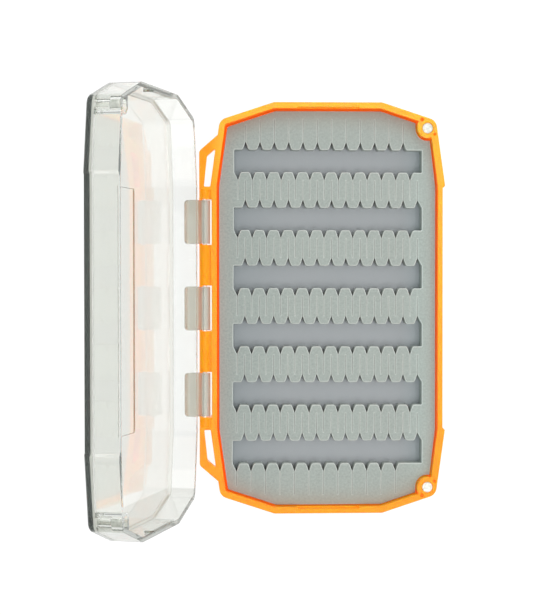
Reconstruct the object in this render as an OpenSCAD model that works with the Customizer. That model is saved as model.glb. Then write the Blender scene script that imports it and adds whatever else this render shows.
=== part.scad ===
// Slim pocket fly box: a moulded tray with a die-cut slit foam, and a clear lid on a pinned knuckle hinge.
// Millimetres. The origin is the centre of the tray's underside. +Z is up out of the tray,
// +Y runs along the hinge, and +X points from the hinge to the opening side.

/* [Case outline, shared by the tray and the lid] */
// Length of the case, along the hinge
case_len = 152; // [140:1:176]
// Width of the case at its widest, from the hinge side to the opening side
case_wid = 86.8; // [84:0.2:98]
// Length of the straight stretch of each short end
end_flat = 40; // [32:1:48]
// How far each main corner is set in from the widest side
corner_in = 3.4; // [2.8:0.1:4]
// How far each main corner is set back from the short end
corner_back = 6.6; // [5.6:0.1:7.6]
// How far from the short end the long sides turn straight
taper_back = 30.7; // [29:0.1:34]
// Rounding of the four main corners
corner_r = 3.7; // [2.8:0.1:5]
// Rounding of the other bends of the outline
bend_r = 3; // [2:0.5:6]
// Depth of the thumb recess along the opening side
thumb_in = 0.9; // [0.6:0.1:1.2]
// Rounding of the lips at the two ends of the thumb recess
thumb_lip_r = 0.5; // [0.2:0.1:0.6]

/* [Tray] */
// Height of the tray, from its underside to its rim
tray_h = 12.5; // [12:0.5:18]
// Thickness of the tray's side walls
tray_wall = 2.4; // [2:0.1:3]
// Thickness of the tray's floor
tray_floor = 1.8; // [1.2:0.1:2.4]
// Chamfer round the tray's underside
tray_chamfer = 1.2; // [0.6:0.1:1.6]
// How far the tray's bay stops short along the opening side, which thickens the wall there
bay_short = 0.5; // [0.3:0.1:0.8]

/* [Lid] */
// Height of the lid, from its rim to its outer face
lid_h = 11.8; // [10:0.1:16]
// Thickness of the lid's side walls
lid_wall = 1.7; // [1.4:0.1:2.2]
// Thickness of the lid's plate
lid_plate = 2; // [1.4:0.1:2.6]
// Chamfer round the lid's outer face
lid_chamfer = 0.5; // [0.3:0.1:0.8]
// Sloped fillet between the lid's walls and its plate, inside
lid_fillet = 0.8; // [0.4:0.1:1.6]
// Gap between the two rims when the lid is closed
rim_gap = 0.2; // [0.1:0.05:0.4]
// Angle that the lid stands open by, from closed to its stop
open_angle = 106.5; // [100:0.5:112]
// Length of the bare panel that is sunk into the lid's outer face
panel_len = 84; // [60:1:100]
// Width of that panel
panel_wid = 16.2; // [10:0.2:24]
// How far the panel's middle lies from the lid's middle, towards the opening side
panel_off = 5.9; // [0:0.1:8]
// Depth of that panel
panel_depth = 0.6; // [0.2:0.1:0.8]

/* [Hinge] */
// Distance from the tray's hinge side out to the pin's axis
pin_out = 2.2; // [2.1:0.1:2.8]
// Depth of the pin's axis below the tray's rim
pin_drop = 2; // [2:0.1:2.6]
// Radius of the knuckles round the pin
knuckle_r = 2; // [1.8:0.1:2]
// Length of each of the lid's knuckles
knuckle_len = 16; // [12:0.5:20]
// Length of the tray's strip between the last pocket and the lanyard hole
strip_end = 4.55; // [4:0.05:8]
// End gap between a lid knuckle and the tray's strip
knuckle_gap = 0.45; // [0.3:0.05:0.8]
// How far each pocket is cut into the tray's side wall
pocket_in = 0.4; // [0.3:0.1:0.6]
// How far the lid's arms reach up from the pin's axis
arm_reach = 7; // [5:0.5:9]
// Rounding of the arms' outer corners
arm_r = 1.2; // [0.6:0.1:1.8]
// Height of the hinge strip down the tray's side
strip_h = 6.5; // [6:0.5:9]
// Width of the stop bar across the outer side of each pocket
stop_wid = 1.2; // [0.8:0.1:1.5]
// Gap between the lid's arms and the stop bars when the lid stands open
stop_gap = 0.15; // [0.1:0.05:0.3]
// Radius of the hinge pin
pin_r = 0.75; // [0.6:0.05:0.9]
// How far the pin's ends lie inside the ends of the strip
pin_set_in = 2.4; // [1:0.1:3]
// Radial clearance of the pin in the tray, where it is held
pin_hold = 0.02; // [0.01:0.01:0.04]
// Radial clearance of the pin in the lid's knuckles, which turn on it
pin_run = 0.08; // [0.05:0.01:0.1]

/* [Lanyard loops] */
// How far each loop's outer end is set back from the case's short end
loop_tip_back = 12.1; // [11:0.1:14]
// How far from the short end the loop turns towards its outer end
loop_bend_back = 18; // [17:0.1:20]
// Thickness of the loops
loop_t = 5; // [3:0.5:6]
// Width of the loop's band where the hole starts
loop_band = 1.7; // [1.4:0.1:2]
// How far the hole leans in from its start to its bend
hole_lean = 1.2; // [0.8:0.1:1.4]
// How far from the short end the hole ends at the wall
hole_tip_back = 16.9; // [16:0.1:18]
// How far from the short end the hole bends
hole_bend_back = 19.8; // [19:0.1:21]
// How far from the short end the hole starts
hole_start_back = 31.1; // [30:0.1:33]

/* [Magnets] */
// Radius of the magnets
magnet_r = 2; // [1.5:0.1:2.2]
// Thickness of the magnets
magnet_t = 3; // [2:0.1:4]
// Chamfer round both faces of the magnets
magnet_chamfer = 0.2; // [0.1:0.05:0.3]
// Radial clearance of a magnet in its pocket
magnet_clear = 0.05; // [0.02:0.01:0.1]
// How far each magnet is set in from the case's widest side
magnet_in = 6.5; // [6.2:0.1:7.5]
// How far each magnet is set back from the case's short end
magnet_back = 9.4; // [9.2:0.1:11]
// How deep the tray's magnets lie below the rim
tray_magnet_sink = 0.2; // [0.1:0.1:0.6]
// How deep the lid's magnets lie above the lid's rim
lid_magnet_sink = 1.2; // [0.6:0.1:2]
// Radius of the tray's magnet bosses
boss_r = 3.8; // [3.2:0.1:4.2]
// Radius of the lid's magnet columns
column_r = 3.1; // [2.8:0.1:3.6]
// Radius of the core hole behind each of the lid's magnets
core_r = 1.4; // [0.8:0.1:1.4]

/* [Rim key at the short ends] */
// Length of the shallow rebate in the tray's rim
rebate_len = 22.9; // [18:0.1:30]
// Depth of that rebate into the wall
rebate_in = 0.7; // [0.5:0.05:0.9]
// Depth of that rebate below the rim
rebate_drop = 1.6; // [1.4:0.1:2]
// Clearance between the lid's tongue and the rebate
tongue_clear = 0.2; // [0.15:0.05:0.25]
// How far the lid's tongue stands out past the lid's rim
tongue_out = 1.2; // [0.8:0.1:1.2]
// How far the tongue runs up inside the lid
tongue_up = 2.4; // [1.5:0.1:4]

/* [Slit foam] */
// Thickness of the slit foam
foam_t = 6; // [4.5:0.5:6]
// Thickness of the plain sheet under the slit foam
backing_t = 1.5; // [1:0.1:2]
// Thickness of the adhesive sheet under that
glue_t = 0.2; // [0.1:0.05:0.3]
// Gap between the foam and the tray's walls and bosses
foam_gap = 0.9; // [0.3:0.1:1.1]
// Number of troughs
trough_count = 6; // [4:1:6]
// Distance from the case's short end to the nearest trough
end_land = 17.8; // [17:0.1:20]
// Height of each trough along the case
trough_h = 8.3; // [7:0.1:9]
// Distance from the case's widest side to the troughs' ends
side_land = 8.35; // [7.6:0.05:12]
// Spacing of the mouths along a trough
mouth_pitch = 5.36; // [5:0.02:6]
// Depth of a V mouth
mouth_deep = 2.9; // [2:0.05:3.1]
// Width of a V mouth at the trough
mouth_wid = 2.1; // [1.8:0.1:2.6]
// Rounding of the foam's teeth between the mouths
tooth_r = 0.8; // [0.4:0.1:1.1]
// Width of a slit
slit_wid = 0.2; // [0.15:0.05:0.3]
// Foam left between a slit's end and the next trough
slit_stop = 3.1; // [2.8:0.1:4]
// Length of a slit past its mouth, towards a short end
end_slit_len = 8.6; // [7:0.1:9]
// Distance from the trough's end to the first mouth that opens towards the lower short end
first_mouth_low = 4.2; // [3:0.1:4.4]
// Distance from the trough's end to the first mouth that opens towards the upper short end
first_mouth_high = 1.4; // [1.4:0.02:1.8]

/* [Hidden] */
$fn = 48;
arc_step = 9;         // largest turn of one step of a rounded corner, in degrees
tooth_step = 24;      // the same for the foam's small teeth
over = 1;             // how far a cut runs past the face it opens
skin = 0.01;          // thickness of the slices that a chamfer is spanned between
min_bend_r = 0.6;     // smallest rounding that an inset outline keeps
end_margin = 1.4;     // foam left between a slit's end and the foam's edge
dimple_r = [0.5, 0.65];                    // radii of the two ejector marks beside a boss
dimple_at = [[2.6, -2.25], [-2.1, 3.15]];  // their places from the magnet, towards side and end
dimple_deep = 0.6;

half_len = case_len / 2;
half_wid = case_wid / 2;
corner_x = half_wid - corner_in;
corner_y = half_len - corner_back;
kink_y = half_len - taper_back;
far_wid = half_wid - thumb_in;             // the opening side at the bottom of the thumb recess
tray_far = half_wid - bay_short;           // the opening side that the tray's bay is set in from
rim_z = tray_h;
lid_z = rim_z + rim_gap;
pin_x = -half_wid - pin_out;
pin_z = rim_z - pin_drop;
strip_x = pin_x - knuckle_r;
strip_z = rim_z - strip_h;
strip_root_x = -half_wid + tray_wall / 2;
valley_z = pin_z + 0.7 * knuckle_r;        // top of the web between the strip's round top and the wall
magnet_x = half_wid - magnet_in;
magnet_y = half_len - magnet_back;
glue_z = tray_floor;
backing_z = glue_z + glue_t;
foam_z = backing_z + backing_t;
hole_start_y = half_len - hole_start_back;
knuckle_pitch = hole_start_y - strip_end - knuckle_gap - knuckle_len / 2;
knuckle_ys = [for (k = [-1:1]) k * knuckle_pitch];
pin_len = 2 * (hole_start_y - pin_set_in);
trough_len = case_wid - 2 * side_land;
trough_pitch = (case_len - 2 * end_land - trough_h) / (trough_count - 1);
slit_len = trough_pitch - trough_h - mouth_deep - slit_stop;

// --- Outlines: lists of [x, y, corner radius], anticlockwise ---

function flat(p) = [p.x, p.y];
function unit(v) = v / norm(v);
function mirrored(points) = [for (i = [len(points) - 1:-1:0]) [points[i].x, -points[i].y, points[i].z]];
function wrapped(a) = a > 180 ? a - 360 : a < -180 ? a + 360 : a;

// The left-hand normal of the step from a to b, which points inwards on an anticlockwise outline
function inward(a, b) = let (d = unit(flat(b) - flat(a))) [-d.y, d.x];

// The outline moved inwards by d, with its roundings made smaller to match
function inset(points, d) = [
    for (i = [0:len(points) - 1])
        let (n = len(points), p = points[i],
             a = inward(points[(i + n - 1) % n], p), b = inward(p, points[(i + 1) % n]),
             q = flat(p) + d * (a + b) / (1 + a * b))
        [q.x, q.y, max(p.z - d, min_bend_r)]
];

// The arc that rounds the corner c between its neighbours p and n
function corner_arc(p, c, n, step) =
    c.z <= 0 ? [flat(c)] :
    let (a = unit(flat(p) - flat(c)), b = unit(flat(n) - flat(c)), half = acos(a * b) / 2,
         mid = flat(c) + unit(a + b) * c.z / sin(half),
         s = flat(c) + a * c.z / tan(half) - mid, e = flat(c) + b * c.z / tan(half) - mid,
         from = atan2(s.y, s.x), sweep = wrapped(atan2(e.y, e.x) - from),
         steps = ceil(abs(sweep) / step))
    [for (k = [0:steps]) mid + c.z * [cos(from + sweep * k / steps), sin(from + sweep * k / steps)]];

function rounded(points, step = arc_step) = [
    for (i = [0:len(points) - 1])
        let (n = len(points))
        each corner_arc(points[(i + n - 1) % n], points[i], points[(i + 1) % n], step)
];

// The eight-sided outline, with the opening side at x = far
function eight_sides(far, far_r) =
    let (upper = [[far, kink_y, far_r], [corner_x, corner_y, corner_r],
                  [end_flat / 2, half_len, bend_r], [-end_flat / 2, half_len, bend_r],
                  [-corner_x, corner_y, corner_r], [-half_wid, kink_y, bend_r]])
    concat(upper, mirrored(upper));

// The same outline with the thumb recess let into the opening side
function case_outline() =
    let (recess = [[far_wid, kink_y - thumb_in, thumb_lip_r]])
    concat(eight_sides(half_wid, thumb_lip_r), mirrored(recess), recess);

// The inside of a shell with the given wall, whose opening side stands at x = far
function bay_outline(far, wall) = inset(eight_sides(far, bend_r), wall);

// Outer face of the hinge side at the height y, beside the tapering corners
function side_x(y) = half_wid - corner_in * max(0, y - kink_y) / (corner_y - kink_y);

// --- Shared solids ---

// A solid block of the case's outline, chamfered round its lower face
module case_block(h, chamfer) {
    blank = eight_sides(half_wid, bend_r);
    intersection() {
        linear_extrude(h) polygon(rounded(case_outline()));
        hull() {
            linear_extrude(skin) polygon(rounded(inset(blank, chamfer)));
            translate([0, 0, chamfer]) linear_extrude(h) polygon(rounded(blank));
        }
    }
}

// A profile drawn in X and Z, run along Y
module along_y(length) {
    rotate([90, 0, 0]) linear_extrude(length, center = true) children();
}

module at_knuckles() {
    for (y = knuckle_ys) translate([0, y, 0]) children();
}

module both_ends() {
    children();
    mirror([0, 1, 0]) children();
}

// Turns what is drawn closed to the place where the lid stands open
module opened() {
    translate([pin_x, 0, pin_z]) rotate([0, -open_angle, 0]) translate([-pin_x, 0, -pin_z]) children();
}

// A round boss at the magnet's place, filled out square as far as the middle of the corner's walls
module boss_profile(r, far, wall) {
    reach = magnet_in + magnet_back;
    intersection() {
        polygon(rounded(bay_outline(far, wall / 2)));
        translate([magnet_x, magnet_y]) {
            circle(r = r);
            translate([-r, 0]) square([reach, reach]);
            translate([0, -r]) square([reach, reach]);
        }
    }
}

module pin_hole(clear, length) {
    translate([pin_x, 0, pin_z]) rotate([90, 0, 0])
        cylinder(r = pin_r + clear, h = length, center = true);
}

// --- Tray ---

module strip_profile() {
    translate([pin_x, pin_z]) circle(r = knuckle_r);
    polygon([[strip_x, strip_z], [strip_root_x, strip_z], [strip_root_x, valley_z],
             [pin_x, valley_z], [strip_x, pin_z]]);
}

module lanyard_loop() {
    tip_y = half_len - loop_tip_back;
    bend_y = half_len - loop_bend_back;
    hole_tip_y = half_len - hole_tip_back;
    hole_bend_y = half_len - hole_bend_back;
    root = tray_wall / 2;
    lip = 0.15;
    translate([0, 0, rim_z - loop_t]) linear_extrude(loop_t) difference() {
        polygon(rounded([[-side_x(hole_start_y) + root, hole_start_y - over, 0],
                         [-side_x(tip_y) + root, tip_y, 0],
                         [-side_x(tip_y), tip_y, 0],
                         [strip_x, bend_y, 2],
                         [strip_x, hole_start_y - over, 0]]));
        polygon(rounded([[-side_x(hole_start_y) - lip, hole_start_y, 0.4],
                         [-side_x(hole_tip_y) - lip, hole_tip_y, 0.3],
                         [strip_x + loop_band + hole_lean, hole_bend_y, 1],
                         [strip_x + loop_band, hole_start_y, 0.4]]));
    }
}

module knuckle_pockets() {
    at_knuckles()
        translate([strip_x - over, -knuckle_len / 2 - knuckle_gap, -over])
            cube([-half_wid + pocket_in - strip_x + over, knuckle_len + 2 * knuckle_gap, rim_z + 2 * over]);
}

// A bar across the outer side of a pocket; its sloped top meets the arm's underside when the lid is open
module stop_bars() {
    function arm_under(x) = (-knuckle_r - x * cos(open_angle)) / sin(open_angle);
    outer = -knuckle_r;
    inner = outer + stop_wid;
    bite = 0.5;
    at_knuckles() along_y(knuckle_len + 2 * knuckle_gap + 2 * bite)
        polygon([[strip_x, strip_z], [strip_x + stop_wid, strip_z],
                 [pin_x + inner, pin_z + arm_under(inner) - stop_gap],
                 [pin_x + outer, pin_z + arm_under(outer) - stop_gap]]);
}

module rim_rebate() {
    translate([-rebate_len / 2, half_len - tray_wall - over, rim_z - rebate_drop])
        cube([rebate_len, rebate_in + over, rebate_drop + over]);
}

module tray_magnet_seat() {
    translate([magnet_x, magnet_y, rim_z]) {
        translate([0, 0, -tray_magnet_sink - magnet_t])
            cylinder(r = magnet_r + magnet_clear, h = tray_magnet_sink + magnet_t + over);
        for (i = [0:len(dimple_r) - 1])
            translate([dimple_at[i].x, dimple_at[i].y, -dimple_deep])
                cylinder(r = dimple_r[i], h = dimple_deep + over);
    }
}

module tray() {
    color("darkorange") difference() {
        union() {
            difference() {
                union() {
                    case_block(tray_h, tray_chamfer);
                    along_y(2 * hole_start_y) strip_profile();
                    both_ends() lanyard_loop();
                }
                knuckle_pockets();
            }
            stop_bars();
        }
        translate([0, 0, tray_floor]) linear_extrude(tray_h) difference() {
            polygon(rounded(bay_outline(tray_far, tray_wall)));
            both_ends() boss_profile(boss_r, tray_far, tray_wall);
        }
        both_ends() rim_rebate();
        both_ends() tray_magnet_seat();
        pin_bore();
    }
}

// The pin's bore: blind at its upper end, and open through the lower loop, where the pin goes in
module pin_bore() {
    reach = pin_len / 2 + half_len;
    translate([0, (pin_len - reach) / 2, 0]) pin_hole(pin_hold, reach);
}

module hinge_pin() {
    color("silver") pin_hole(0, pin_len);
}

// A disc magnet on its own base, chamfered round both faces
module disc_magnet() {
    face = magnet_r - magnet_chamfer;
    rotate_extrude() polygon([[0, 0], [face, 0], [magnet_r, magnet_chamfer],
                              [magnet_r, magnet_t - magnet_chamfer], [face, magnet_t], [0, magnet_t]]);
}

module tray_magnet() {
    color("gainsboro") translate([magnet_x, magnet_y, rim_z - tray_magnet_sink - magnet_t]) disc_magnet();
}

// --- Foam ---

module foam_profile() {
    difference() {
        polygon(rounded(bay_outline(tray_far, tray_wall + foam_gap)));
        both_ends() boss_profile(boss_r + foam_gap, tray_far, tray_wall);
    }
}

module adhesive_sheet() {
    color("ivory") translate([0, 0, glue_z]) linear_extrude(glue_t) foam_profile();
}

module foam_backing() {
    color("lightslategray") translate([0, 0, backing_z]) linear_extrude(backing_t) foam_profile();
}

// Inner edge of the foam at the short end, above the place x
function foam_end_y(x) =
    let (edge = tray_wall + foam_gap, run = corner_x - end_flat / 2, fall = corner_back / run,
         slope_y = half_len - fall * (abs(x) - end_flat / 2) - edge * sqrt(1 + fall * fall))
    min(half_len - edge, slope_y);

// Corners of one mouth and its slit, from the smaller x to the larger; dir is +1 upwards, -1 downwards
function mouth(x, y, dir, length, opens, closes) = concat(
    opens ? [[x - mouth_wid / 2, y, tooth_r]] : [],
    [[x - slit_wid / 2, y + dir * mouth_deep, 0],
     [x - slit_wid / 2, y + dir * (mouth_deep + length), 0],
     [x + slit_wid / 2, y + dir * (mouth_deep + length), 0],
     [x + slit_wid / 2, y + dir * mouth_deep, 0]],
    closes ? [[x + mouth_wid / 2, y, tooth_r]] : []
);

// Places of the mouths along one edge of a trough, the last of them before x = last
function mouth_xs(first, last) = [for (x = [-trough_len / 2 + first:mouth_pitch:last]) x];

// A slit's length: a full one between troughs, and at the short ends one that stops before the foam's edge
function slit_at(x, y, at_end) =
    at_end ? min(end_slit_len, foam_end_y(x) - end_margin - abs(y) - mouth_deep) : slit_len;

// One trough's outline. Its mouths bite into the strips above and below it, half a pitch apart.
function trough(t) =
    let (y = (t - (trough_count - 1) / 2) * trough_pitch, end = trough_len / 2,
         low = y - trough_h / 2, high = y + trough_h / 2,
         is_first = t == 0, is_last = t == trough_count - 1,
         room = mouth_wid / 2, edge_r = 0.3,
         near_boss = magnet_x - boss_r - foam_gap - end_margin,
         below = mouth_xs(first_mouth_high, is_first ? near_boss - room : end - room - edge_r),
         above = mouth_xs(first_mouth_low, is_last ? near_boss : end - room + edge_r))
    concat(
        [[-end, low, edge_r]],
        [for (i = [0:len(below) - 1])
            each mouth(below[i], low, -1, slit_at(below[i], low, is_first), i > 0, true)],
        [[end, low, edge_r], [end, high, edge_r]],
        [for (i = [len(above) - 1:-1:0])
            let (run = mouth(above[i], high, 1, slit_at(above[i], high, is_last),
                             true, above[i] + room + tooth_r + edge_r < end))
            each [for (k = [len(run) - 1:-1:0]) run[k]]],
        [[-end, high, edge_r]]
    );

module slit_foam() {
    color("darkgray") translate([0, 0, foam_z]) linear_extrude(foam_t) difference() {
        foam_profile();
        for (t = [0:trough_count - 1]) polygon(rounded(trough(t), tooth_step));
    }
}

// --- Lid, drawn closed and then turned open ---

module lid_shell() {
    bay = bay_outline(far_wid, lid_wall);
    plate_z = lid_h - lid_plate;
    difference() {
        translate([0, 0, lid_z + lid_h]) mirror([0, 0, 1]) case_block(lid_h, lid_chamfer);
        translate([0, 0, lid_z - over]) linear_extrude(plate_z - lid_fillet + over) polygon(rounded(bay));
        translate([0, 0, lid_z + plate_z - lid_fillet]) hull() {
            linear_extrude(skin) polygon(rounded(bay));
            translate([0, 0, lid_fillet - skin]) linear_extrude(skin) polygon(rounded(inset(bay, lid_fillet)));
        }
    }
}

// A column for the lid's magnet, merged with the walls of its corner
module magnet_column() {
    translate([0, 0, lid_z]) linear_extrude(lid_h - lid_plate / 2) boss_profile(column_r, far_wid, lid_wall);
}

module lid_magnet_seat() {
    seat = lid_magnet_sink + magnet_t;
    translate([magnet_x, magnet_y, lid_z]) {
        translate([0, 0, -over]) cylinder(r = magnet_r + magnet_clear, h = seat + over);
        cylinder(r = core_r, h = lid_h - lid_plate);
    }
}

// A tongue inside the lid's short end, which keys into the tray's rebate
module tongue() {
    outer = half_len - tray_wall + rebate_in - tongue_clear;
    inner = half_len - tray_wall;
    length = rebate_len - 2 * tongue_clear;
    translate([-length / 2, inner, lid_z - tongue_out]) cube([length, outer - inner, tongue_out + tongue_up]);
    translate([-length / 2, inner, lid_z]) cube([length, half_len - lid_wall / 2 - inner, tongue_up]);
}

// A knuckle on the pin, with the arm that joins it to the lid's wall
module lid_knuckle() {
    root_x = -half_wid + lid_wall / 2;
    top = pin_z + arm_reach;
    half = knuckle_len / 2;
    intersection() {
        along_y(knuckle_len) {
            translate([pin_x, pin_z]) circle(r = knuckle_r);
            polygon(rounded([[strip_x, pin_z, 0], [pin_x + knuckle_r, pin_z, 0],
                             [pin_x + knuckle_r, lid_z, 0], [root_x, lid_z, 0],
                             [root_x, top, 0], [strip_x, top, arm_r]]));
        }
        translate([strip_x - over, 0, 0]) rotate([90, 0, 90]) linear_extrude(root_x - strip_x + 2 * over)
            polygon(rounded([[-half, strip_z, 0], [half, strip_z, 0], [half, top, arm_r], [-half, top, arm_r]]));
    }
}

module sunk_panel() {
    x = panel_wid / 2;
    y = panel_len / 2;
    translate([panel_off, 0, lid_z + lid_h - panel_depth]) linear_extrude(panel_depth + over)
        polygon(rounded([[-x, -y, 1], [x, -y, 1], [x, y, 1], [-x, y, 1]]));
}

module lid() {
    color("gainsboro", 0.5) opened() difference() {
        union() {
            lid_shell();
            both_ends() magnet_column();
            both_ends() tongue();
            at_knuckles() lid_knuckle();
        }
        both_ends() lid_magnet_seat();
        sunk_panel();
        pin_hole(pin_run, pin_len);
    }
}

module lid_magnet() {
    color("gainsboro") translate([magnet_x, magnet_y, lid_z + lid_magnet_sink]) disc_magnet();
}

tray();
hinge_pin();
tray_magnet();  // tray_magnet_upper
mirror([0, 1, 0]) tray_magnet();  // tray_magnet_lower
adhesive_sheet();
foam_backing();
slit_foam();
lid();
opened() lid_magnet();  // lid_magnet_upper
opened() mirror([0, 1, 0]) lid_magnet();  // lid_magnet_lower
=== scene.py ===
"""A slim pocket fly box that stands open: its finishes, its soft foams and the studio round it.

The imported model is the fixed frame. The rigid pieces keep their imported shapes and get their
finishes here. The two foams are soft, so they are built here as meshes of their own, from the
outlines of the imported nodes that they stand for. Lengths are in metres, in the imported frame.
"""
import logging
import math
from dataclasses import dataclass, field
from enum import Enum
from typing import Callable, Iterator

import bpy
import numpy as np
from mathutils import Euler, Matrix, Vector, noise
from mathutils.geometry import delaunay_2d_cdt


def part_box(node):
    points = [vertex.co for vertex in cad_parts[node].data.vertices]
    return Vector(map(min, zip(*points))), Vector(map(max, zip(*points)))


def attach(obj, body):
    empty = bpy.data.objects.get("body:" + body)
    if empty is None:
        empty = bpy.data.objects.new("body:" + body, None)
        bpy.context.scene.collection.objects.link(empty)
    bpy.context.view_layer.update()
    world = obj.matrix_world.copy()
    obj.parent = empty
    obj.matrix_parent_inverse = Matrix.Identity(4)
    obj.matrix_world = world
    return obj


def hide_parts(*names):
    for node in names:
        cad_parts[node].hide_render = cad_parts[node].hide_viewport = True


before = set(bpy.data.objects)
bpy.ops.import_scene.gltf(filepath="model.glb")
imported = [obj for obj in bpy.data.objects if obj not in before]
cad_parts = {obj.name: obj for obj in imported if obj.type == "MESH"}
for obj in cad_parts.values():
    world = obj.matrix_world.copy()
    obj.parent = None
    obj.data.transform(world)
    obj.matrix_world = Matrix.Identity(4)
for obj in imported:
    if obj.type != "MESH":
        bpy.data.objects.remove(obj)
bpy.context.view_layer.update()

MM = 0.001
log = logging.getLogger("fly_box")

Socket = bpy.types.NodeSocket
Node = bpy.types.Node
Tree = bpy.types.NodeTree
Span = tuple[float, float]
Place = tuple[float, float, float]
Colour = tuple[float, float, float]
BLACK: Colour = (0.0, 0.0, 0.0)
WHITE: Colour = (1.0, 1.0, 1.0)
CASE_KINK = 45.3 * MM
CASE_TAPER = 0.141
TINY = 1e-18


# --- Shader graphs ---


def with_spaces(values: dict[str, object]) -> dict[str, object]:
    """The same values under input names that have spaces for underscores."""
    return {name.replace("_", " "): value for name, value in values.items()}


class Graph:
    """A node tree that is wired up one node at a time."""

    def __init__(self, tree: Tree) -> None:
        """Empties the node tree of a material, a world or a group."""
        self.tree = tree
        tree.nodes.clear()

    def add(
        self, kind: str, inputs: dict[str | int, object] | None = None, **settings: object
    ) -> Node:
        """Adds a node, sets its options, and fills or links its inputs.

        Args:
            kind: The node's type name.
            inputs: A value or an output socket for each named or numbered input.
            **settings: The node's own options.

        Returns:
            The new node.
        """
        node = self.tree.nodes.new(kind)
        for name, value in settings.items():
            setattr(node, name, value)
        for name, value in (inputs or {}).items():
            self.feed(node.inputs[name], value)
        return node

    def feed(self, socket: Socket, value: object) -> None:
        """Links an output to an input, or sets the input to a number, a place or a colour.

        Args:
            socket: The input.
            value: The output's socket, or the plain value.
        """
        if isinstance(value, Socket):
            self.tree.links.new(value, socket)
        elif socket.type == "RGBA":
            socket.default_value = (*value, 1.0)
        else:
            socket.default_value = value

    def math(self, operation: str, *values: object) -> Socket:
        """The result of one of the Math node's operations on numbers or sockets."""
        node = self.add("ShaderNodeMath", dict(enumerate(values)), operation=operation)
        return node.outputs[0]

    def times(self, a: object, b: object) -> Socket:
        """One value times another."""
        return self.math("MULTIPLY", a, b)

    def minus(self, a: object, b: object) -> Socket:
        """One value less another."""
        return self.math("SUBTRACT", a, b)

    def most(self, a: object, b: object) -> Socket:
        """The larger of two values."""
        return self.math("MAXIMUM", a, b)

    def size(self, value: object) -> Socket:
        """A value without its sign."""
        return self.math("ABSOLUTE", value)

    def ramp(self, value: object, low: object, high: object, to_low: float = 0.0,
             to_high: float = 1.0) -> Socket:
        """Maps a value from low and high onto to_low and to_high, and clamps it there."""
        node = self.add("ShaderNodeMapRange", {0: value, 1: low, 2: high, 3: to_low, 4: to_high})
        return node.outputs[0]

    def mix(self, share: object, a: object, b: object, blend: str = "MIX") -> Socket:
        """Mixes two colours.

        Args:
            share: How much of b, as a number or a socket.
            a: The first colour, or its socket.
            b: The second colour, or its socket.
            blend: The Mix node's blend type.

        Returns:
            The mixed colour's socket.
        """
        node = self.add("ShaderNodeMix", data_type="RGBA", blend_type=blend, clamp_factor=True)
        for index, value in ((0, share), (6, a), (7, b)):
            self.feed(node.inputs[index], value)
        return node.outputs[2]

    def split(self, place: Socket | None = None) -> tuple[Socket, ...]:
        """The x, y and z of a place, or of the surface's own place."""
        return tuple(self.add("ShaderNodeSeparateXYZ", {0: place or self.place()}).outputs)

    def apart(self, a: object, b: object) -> Socket:
        """The distance between two places."""
        node = self.add("ShaderNodeVectorMath", {0: a, 1: b}, operation="DISTANCE")
        return node.outputs["Value"]

    def bump(
        self, height: Socket, strength: float, distance: float, normal: Socket | None = None
    ) -> Socket:
        """A bumped normal.

        Args:
            height: The bumps' height from 0 to 1.
            strength: How much of the bump shows.
            distance: How high the bumps are.
            normal: The normal to start from, or None for the surface's own.

        Returns:
            The normal's socket.
        """
        inputs = {"Strength": strength, "Distance": distance, "Height": height}
        inputs |= {"Normal": normal} if normal else {}
        return self.add("ShaderNodeBump", inputs).outputs[0]

    def shade(self, out: Node, **inputs: object) -> None:
        """Shades a surface with one Principled shader, with its inputs by name."""
        shader = self.add("ShaderNodeBsdfPrincipled", with_spaces(inputs))
        self.feed(out.inputs["Surface"], shader.outputs[0])

    def place(self) -> Socket:
        """The surface's own place, which stays with it when its body moves."""
        return self.add("ShaderNodeTexCoord").outputs["Object"]

    def line(self, place: tuple[Socket, ...], x: float, y: float, reach: float) -> Socket:
        """How far a place lies past a slanted line, which is mirrored by both middle planes.

        Args:
            place: The place's x, y and z.
            x: The line's normal across the case.
            y: The line's normal along the case.
            reach: The line's distance from the middle.

        Returns:
            The distance's socket.
        """
        across = self.times(self.size(place[0]), x)
        along = self.times(self.size(place[1]), y)
        return self.minus(self.math("ADD", across, along), reach)

    def taper(self, long: object) -> Socket:
        """How far the case has drawn in at a distance along it, past the kinks in its sides."""
        return self.times(self.most(self.minus(long, CASE_KINK), 0.0), CASE_TAPER)

    def blend(self, share: object, a: Node, b: Node) -> Node:
        """Mixes two shaders, with a share of the second."""
        return self.add("ShaderNodeMixShader", {0: share, 1: a.outputs[0], 2: b.outputs[0]})


class Effect(Enum):
    """The surface effects that more than one finish uses, each one a node group."""

    SOFT_EDGE = "soft_edge"
    MOTTLE = "mottle"
    GRAIN = "grain"
    DUST = "dust"
    NOOK = "nook"

    def group(self) -> Tree:
        """The effect's node group, built when it is first asked for."""
        return bpy.data.node_groups.get(self.value) or _BUILDERS[self]()

    def into(self, graph: Graph, **values: object) -> Node:
        """Places the effect in a finish, with its inputs by name."""
        return graph.add("ShaderNodeGroup", with_spaces(values), node_tree=self.group())


def new_group(
    name: str, inputs: dict[str, float], outputs: dict[str, str]
) -> tuple[Graph, Node, Node]:
    """Starts a shader node group with named number inputs.

    Args:
        name: The group's name.
        inputs: Each input's name and first value.
        outputs: Each output's name and socket type.

    Returns:
        The group's graph, its input node and its output node.
    """
    tree = bpy.data.node_groups.new(name, "ShaderNodeTree")
    for socket, value in inputs.items():
        made = tree.interface.new_socket(socket, in_out="INPUT", socket_type="NodeSocketFloat")
        made.default_value = value
    for socket, kind in outputs.items():
        tree.interface.new_socket(socket, in_out="OUTPUT", socket_type=kind)
    graph = Graph(tree)
    return graph, graph.add("NodeGroupInput"), graph.add("NodeGroupOutput")


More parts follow.
